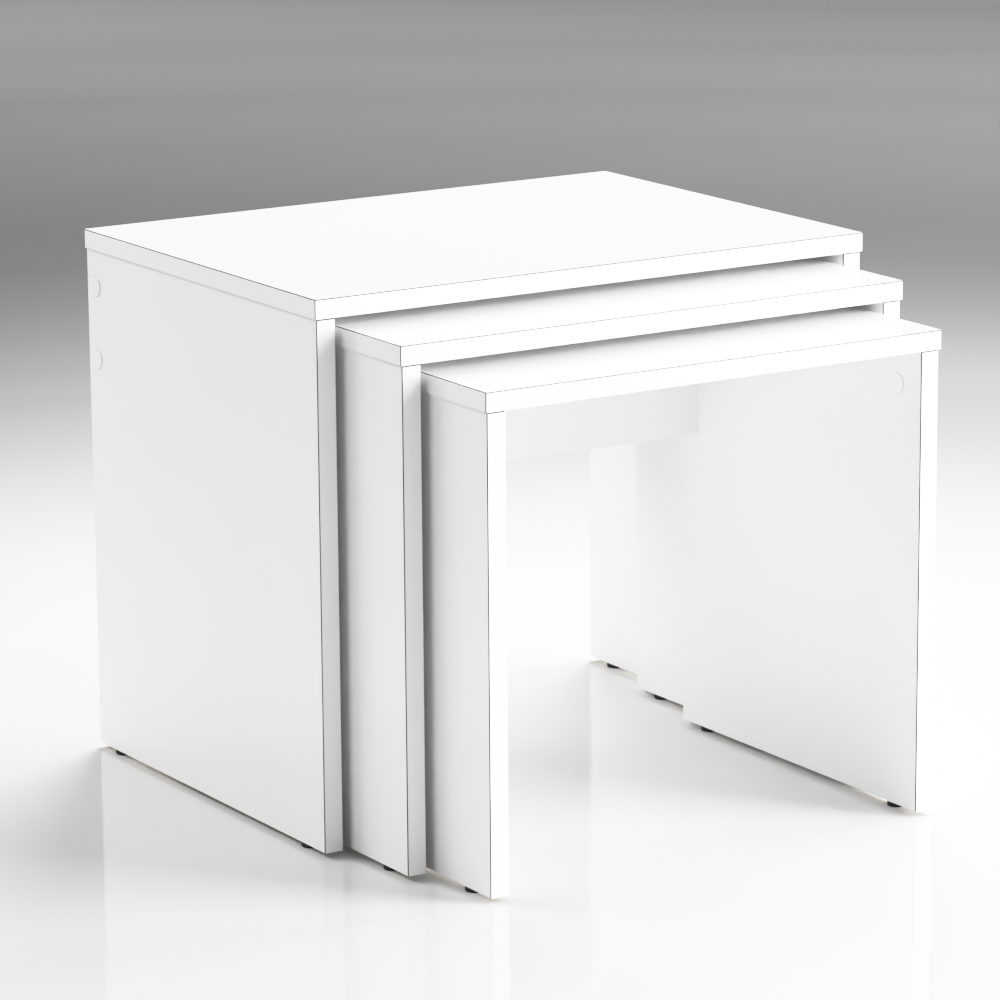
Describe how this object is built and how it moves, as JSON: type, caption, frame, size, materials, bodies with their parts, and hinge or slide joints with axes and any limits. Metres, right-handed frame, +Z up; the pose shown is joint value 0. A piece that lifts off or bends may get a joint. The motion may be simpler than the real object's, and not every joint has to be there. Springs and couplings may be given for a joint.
{
  "type": "nesting tables",
  "caption": "Nest of open white board tables on small round feet, each a top on two side panels with a back rail; the smaller ones slide out from under the larger.",
  "frame": {"origin": "on the floor, under the middle of the whole set as it stands with the smaller tables pulled part out", "axes": "+Z up, +Y towards the back, where the rails are, and +X to the right seen from the front; the smaller tables slide along Y"},
  "size_m": [0.6, 0.635, 0.517],
  "materials": {
    "white_board": "white melamine facing, semi-gloss",
    "laminate": "white laminate with a dark core, semi-gloss",
    "edge_strip": "white faced edge strip with a dark core that shows at its sides",
    "white_band": "thin white edge band",
    "cap_plastic": "moulded white plastic",
    "foot_plastic": "black moulded plastic",
    "steel": "zinc plated",
    "cast_zinc": "die-cast, dull",
    "dowel_wood": "fluted beech, raw"
  },
  "bodies": {
    "large_table": {"large_top_panel": "white_board", "large_top_laminate": "laminate", "large_top_front_strip": "edge_strip", "large_top_edge_strips": "edge_strip", "large_left_side_panel": "white_board", "large_right_side_panel": "white_board", "large_side_front_strips": "edge_strip", "large_side_back_bands": "white_band", "large_back_rail": "white_board", "large_rail_edge_band": "white_band", "large_feet": "foot_plastic", "large_foot_nails": "steel", "large_rail_screws": "steel", "large_cover_caps": "cap_plastic", "large_cam_housings": "cast_zinc", "large_cam_bolts": "steel", "large_cam_caps": "cap_plastic", "large_top_dowels": "dowel_wood"},
    "medium_table": {"medium_top_panel": "white_board", "medium_top_laminate": "laminate", "medium_top_front_strip": "edge_strip", "medium_top_edge_strips": "edge_strip", "medium_left_side_panel": "white_board", "medium_right_side_panel": "white_board", "medium_side_front_strips": "edge_strip", "medium_side_back_bands": "white_band", "medium_back_rail": "white_board", "medium_rail_edge_band": "white_band", "medium_feet": "foot_plastic", "medium_foot_nails": "steel", "medium_rail_screws": "steel", "medium_cover_caps": "cap_plastic", "medium_cam_housings": "cast_zinc", "medium_cam_bolts": "steel", "medium_cam_caps": "cap_plastic", "medium_top_dowels": "dowel_wood"},
    "small_table": {"small_top_panel": "white_board", "small_top_laminate": "laminate", "small_top_front_strip": "edge_strip", "small_top_edge_strips": "edge_strip", "small_left_side_panel": "white_board", "small_right_side_panel": "white_board", "small_side_front_strips": "edge_strip", "small_side_back_bands": "white_band", "small_back_rail": "white_board", "small_rail_edge_band": "white_band", "small_feet": "foot_plastic", "small_foot_nails": "steel", "small_rail_screws": "steel", "small_cover_caps": "cap_plastic", "small_cam_housings": "cast_zinc", "small_cam_bolts": "steel", "small_cam_caps": "cap_plastic", "small_top_dowels": "dowel_wood"}
  },
  "joints": [
    {"name": "medium_table_slide", "type": "slide", "parent": "large_table", "child": "medium_table", "axis": [0, -1, 0], "range_m": [-0.1, 0.33]},
    {"name": "small_table_slide", "type": "slide", "parent": "medium_table", "child": "small_table", "axis": [0, -1, 0], "range_m": [-0.095, 0.3]}
  ]
}
